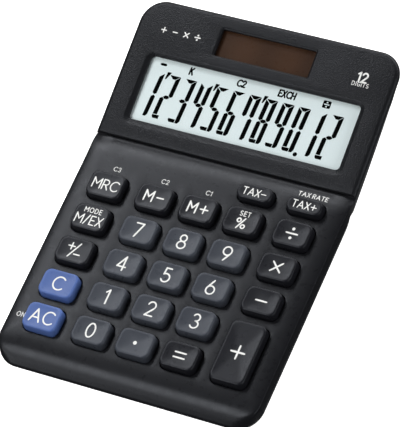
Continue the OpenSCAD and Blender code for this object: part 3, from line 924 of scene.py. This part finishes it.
def write(bm, text, x, y, size, weight, height_at, squeeze=1.0, lean=0.0):
    """Writes a line of text centred on x, y, with capitals of that size."""
    gap = LETTER_GAP if size > SMALL_LETTERS else SMALL_LETTER_GAP
    total = sum(GLYPHS[c][0] for c in text) + gap * (len(text) - 1)
    pen = -total / 2
    for c in text:
        width, strokes = GLYPHS[c]
        for points in strokes:
            stroke(bm, [
                (x + (pen + px) * size * squeeze + (py - 0.5) * size * lean, y + (py - 0.5) * size)
                for px, py in points
            ], weight, height_at)
        pen += width + gap


# What is printed on each key: (text, x, y, size, weight), from the key's centre
LEGENDS = {
    "key_tax_minus": [("TAX-", 0, 0, 2.75, 0.42)],
    "key_tax_plus": [("TAX+", 0, 0, 2.75, 0.42)],
    "key_memory_recall": [("MRC", 0, 0, 3.9, 0.52)],
    "key_memory_minus": [("M -", 0.1, 0.2, 4.1, 0.62)],
    "key_memory_plus": [("M +", 0.1, 0.2, 4.1, 0.62)],
    "key_percent": [("SET", 0.3, 2.7, 1.75, 0.34), ("%", 0, -1.2, 4.4, 0.62)],
    "key_divide": [(":", 0, 0, 5.4, 0.66)],
    "key_mode": [("MODE", 0.2, 2.8, 1.8, 0.34), ("M/EX", 0, -1.1, 3.6, 0.48)],
    "key_multiply": [("x", 0, 0, 5.6, 0.66)],
    "key_sign": [("~", 0, 0, 5.9, 0.56)],
    "key_minus": [("-", 0, 0, 6.6, 0.66)],
    "key_plus": [("+", 0, 0, 7.2, 0.76)],
    "key_clear": [("C", 0, 0, 5.2, 0.66)],
    "key_all_clear": [("AC", 0, 0, 5.0, 0.64)],
    "key_decimal": [(".", 0, 0, 6.2, 0.8)],
    "key_equals": [("=", 0, 0, 5.9, 0.66)],
}
LEGENDS.update({f"key_{n}": [(str(n), 0, 0, 5.5, 0.66)] for n in range(10)})


def key_looks(name):
    if name in ("key_clear", "key_all_clear"):
        return CLEAR_KEY, "clear_key_plastic"
    if name[4:].isdigit() or name == "key_decimal":
        return NUMBER_KEY, "number_key_plastic"
    return FUNCTION_KEY, "function_key_plastic"


def keys():
    for name, (x, y, _, _) in KEYS.items():
        bm = key_body(name)
        bm.normal_update()
        surface = BVHTree.FromBMesh(bm)

        def height_at(px, py):
            hit = surface.ray_cast(Vector((px, py, 10)), Vector((0, 0, -1)))[0]
            return hit.z if hit else KEY_RISE

        material, slot = key_looks(name)
        legend = bmesh.new()
        for text, dx, dy, size, weight in LEGENDS[name]:
            write(legend, text, x + dx, y + dy, size, weight, height_at)
        make(name.replace("key_", "cap_"), bm, DECK, material, name, [name], 50)
        make(name.replace("key_", "legend_"), legend, DECK, WHITE_INK, name)


# What is printed on the deck: (text, the key it belongs to, x, y, weight), from the key's centre
DECK_TEXT = (
    ("C3", "key_memory_recall", 0.1, 8.4, 0.3),
    ("C2", "key_memory_minus", 0.1, 8.4, 0.3),
    ("C1", "key_memory_plus", 0.1, 8.4, 0.3),
    ("TAX RATE", "key_tax_plus", 0.2, 5.9, 0.34),
    ("ON", "key_all_clear", -9.7, 0.0, 0.34),
)
DECK_TEXT_SIZE = 1.7

# What is printed on the panel: (text, x, y, size, weight), in the head frame
PANEL_TEXT = [(sign, -41.0 + 4.6 * i, 43.8, 2.6, 0.5) for i, sign in enumerate("+-x:")]
PANEL_TEXT += [("12", 39.4, 43.75, 3.5, 0.75), ("DIGITS", 39.4, 41.0, 1.5, 0.26)]


def deck_print():
    bm = bmesh.new()

    def height_at(x, y):
        roll = clamp((abs(x) - HALF_W + SIDE_ROLL) / SIDE_ROLL)
        return -hinge_fall((DECK @ Vector((x, y, 0))).y) - SIDE_DROP * roll * roll

    for text, node, dx, dy, weight in DECK_TEXT:
        x, y, _, _ = KEYS[node]
        write(bm, text, x + dx, y + dy, DECK_TEXT_SIZE, weight, height_at)
    make("deck_print", bm, DECK, WHITE_INK, "case")


def panel_print():
    bm = bmesh.new()
    for text, x, y, size, weight in PANEL_TEXT:
        write(bm, text, x, y, size, weight, lambda px, py: 0.0)
    make("panel_print", bm, HEAD, WHITE_INK, "case")


# ---- the display's characters ----
# Digits: width, height, pitch and lean, the thickness of the bars and of the waist, the gap
# between bars, the height of their feet and the right end of the first digit's foot
DIGIT_W, DIGIT_H, DIGIT_PITCH, DIGIT_LEAN = 4.65, 17.4, 6.585, 0.065
BAR_T, WAIST_T, BAR_GAP = 1.7, 1.4, 0.1
DIGIT_FOOT = 10.85
FIRST_DIGIT_RIGHT = -35.15
SYMBOL_Y = 31.5
SYMBOLS = (  # text, x, size, weight
    ("-", -37.0, 2.9, 1.15), ("K", -25.5, 2.5, 0.75), ("C2", -5.1, 2.4, 0.72),
    ("EXCH", 13.3, 2.4, 0.72),
)
BOX_X, BOX_Y = 29.1, 31.4
SEGMENTS = {
    "0": "abcdef", "1": "bc", "2": "abged", "3": "abgcd", "4": "fgbc", "5": "afgcd", "6": "afgecd",
    "7": "fabc", "8": "abcdefg", "9": "abfgcd",
}


def segment_shape(name):
    """Outline of one bar of a digit, from the digit's lower left corner."""
    w, h, t, s, g = DIGIT_W, DIGIT_H, BAR_T, WAIST_T, BAR_GAP
    mid = h / 2
    waist = [(t, mid + s / 2 + g), (t / 2, mid + g), (0, mid + s / 2)]
    shape = {
        "a": [(1.6 * g, h), (w - 1.6 * g, h), (w - t - g, h - s), (t + g, h - s)],
        "b": [(w, h - 2.6 * g), (w, mid + s / 2), (w - t / 2, mid + g), (w - t, mid + s / 2 + g),
              (w - t, h - s - 1.6 * g), (w - 1.2 * g, h - 1.2 * g)],
        "c": [(w - t, mid - s / 2 - g), (w - t / 2, mid - g), (w, mid - s / 2), (w, 0.9),
              (w - 0.6, 0), (w - t, 0)],
        "d": [(0, s), (0, 0.7), (0.5, 0), (w - t - 2 * g, 0), (w - t - 2 * g, s)],
        "e": [(t, mid - s / 2 - g), (t, s + 2 * g), (0, s + 2 * g), (0, mid - s / 2),
              (t / 2, mid - g)],
        "f": [(0, h - 2.6 * g), (t, h - s - 1.6 * g), *waist],
        "g": [(t * 0.6, mid), (t + g, mid + s / 2), (w - t - g, mid + s / 2), (w - t * 0.6, mid),
              (w - t - g, mid - s / 2), (t + g, mid - s / 2)],
    }
    return shape[name]


def display_characters():
    bm = bmesh.new()
    face_z = LCD_FACE + 0.03
    bottom = DIGIT_FOOT

    def flat(points):
        cap(bm, [bm.verts.new((px + (py - bottom) * DIGIT_LEAN, py, face_z)) for px, py in points])

    lean_top = DIGIT_LEAN * DIGIT_H
    for i, digit in enumerate("123456789012"):
        x0 = FIRST_DIGIT_RIGHT - lean_top - DIGIT_W + DIGIT_PITCH * i
        for name in SEGMENTS[digit]:
            flat([(x0 + px, bottom + py) for px, py in segment_shape(name)])
        if i in (0, 3, 6):
            # The mark between thousands, at the top of the digit
            x1, top = x0 + DIGIT_W + 0.75, bottom + DIGIT_H + 0.9
            flat([(x1, top), (x1 + 1.6, top), (x1 + 0.4, top - 2.9), (x1 - 0.1, top - 2.9)])
        if i == 9:
            # The decimal point
            flat([(x0 + DIGIT_W + 1.2 + 0.82 * math.cos(a), bottom - 0.3 + 0.82 * math.sin(a))
                  for a in (math.tau * k / 20 for k in range(20))])
    for text, x, size, weight in SYMBOLS:
        write(bm, text, x, SYMBOL_Y, size, weight, lambda px, py: face_z - INK_T, 0.86, 0.06)
    # A boxed division sign, cut out of its box
    box = add_ring(bm, rounded(3.1, 2.9, 0.35, BOX_X, BOX_Y, face_z, 3))
    marks = [rounded(2.1, 0.4, 0.15, BOX_X, BOX_Y, face_z, 3)]
    marks += [circle(BOX_X, BOX_Y + dy, 0.33, face_z, 10) for dy in (0.8, -0.8)]
    fill(bm, box, [add_ring(bm, ring) for ring in marks])
    make("display_characters", bm, HEAD, BLACK_SEGMENT, "case")


# ---- stage, lights and camera ----
def floor():
    """A pale floor that throws no light or shade on the calculator, and is clear from below."""
    m = Nodes("pale_floor")
    cloud = m.mix(m.noise(60.0), (0.93, 0.93, 0.93, 1), (0.95, 0.95, 0.95, 1))
    m.drive("Base Color", cloud)
    m.fix("Roughness", 0.9)
    m.fix("Specular IOR Level", 0.0)
    m.fix("Emission Color", (1, 1, 1, 1))
    m.fix("Emission Strength", 1.0)
    seen_from_above = m.add("ShaderNodeMapRange", To_Min=1.0, To_Max=0.0)
    m.link(m.add("ShaderNodeNewGeometry").outputs["Backfacing"], seen_from_above.inputs["Value"])
    m.drive("Alpha", seen_from_above.outputs["Result"])
    bm = bmesh.new()
    bmesh.ops.create_grid(bm, x_segments=2, y_segments=2, size=4.0)
    mesh = bpy.data.meshes.new("floor")
    bm.to_mesh(mesh)
    bm.free()
    mesh.materials.append(m.material)
    plane = bpy.data.objects.new("floor", mesh)
    bpy.context.scene.collection.objects.link(plane)
    plane.visible_diffuse = False
    plane.visible_glossy = False
    plane.visible_shadow = False


# Each lamp: direction from the calculator, distance and size in metres, power in watts
LAMPS = {
    "left_softbox": ((-0.52, 0.27, 0.81), 1.2, (0.28, 0.28), 2.4),
    "rear_left_softbox": ((-0.51, 0.52, 0.69), 1.2, (0.28, 0.28), 3.2),
    "rear_softbox": ((-0.30, 0.66, 0.69), 1.2, (0.28, 0.28), 2.0),
    "front_softbox": ((-0.39, -0.40, 0.83), 1.2, (0.5, 0.5), 6.0),
    "front_left_fill": ((-0.60, -0.70, 0.45), 1.6, (0.8, 0.8), 6.5),
    "right_fill": ((0.90, -0.10, 0.30), 1.8, (2.0, 0.8), 18.0),
    "rear_fill": ((0.10, 0.95, 0.28), 1.8, (2.0, 0.8), 24.0),
    "under_fill": ((0.20, -0.20, -0.96), 1.5, (1.2, 1.2), 12.0),
}


def softbox(name, direction, distance, size, power):
    """An area light that faces the middle of the calculator."""
    data = bpy.data.lights.new(name, "AREA")
    data.shape = "RECTANGLE"
    data.size, data.size_y = size
    data.energy = power
    lamp = bpy.data.objects.new(name, data)
    towards = Vector(direction).normalized()
    lamp.location = towards * distance
    lamp.rotation_euler = towards.to_track_quat("Z", "Y").to_euler()
    bpy.context.scene.collection.objects.link(lamp)


def lights():
    for name, lamp in LAMPS.items():
        softbox(name, *lamp)
    world = bpy.data.worlds.new("studio")
    world.use_nodes = True
    background = world.node_tree.nodes["Background"]
    background.inputs["Color"].default_value = (0.95, 0.97, 1.0, 1)
    background.inputs["Strength"].default_value = 0.06
    bpy.context.scene.world = world
    bpy.context.scene.view_settings.view_transform = "Standard"


def camera():
    """The photograph's view, from the front right and above, with the picture turned."""
    azimuth, elevation, roll = math.radians(44.77), math.radians(55.4), math.radians(24.52)
    distance, aim = 1245.6, Vector((-0.19, -0.81, 10.0))
    back = Vector((
        math.sin(azimuth) * math.cos(elevation),
        -math.cos(azimuth) * math.cos(elevation),
        math.sin(elevation),
    ))
    data = bpy.data.cameras.new("camera")
    data.lens, data.sensor_width = 294.4, 36.0
    data.clip_start, data.clip_end = 0.05, 20.0
    lens = bpy.data.objects.new("camera", data)
    lens.rotation_mode = "QUATERNION"
    upright = back.to_track_quat("Z", "Y")
    lens.rotation_quaternion = upright @ Matrix.Rotation(-roll, 3, "Z").to_quaternion()
    lens.location = (aim + back * distance) * MM
    bpy.context.scene.collection.objects.link(lens)
    bpy.context.scene.camera = lens


dress_frame_nodes()
upper_case()
lower_case()
display_panel()
keys()
deck_print()
panel_print()
display_characters()
floor()
lights()
camera()
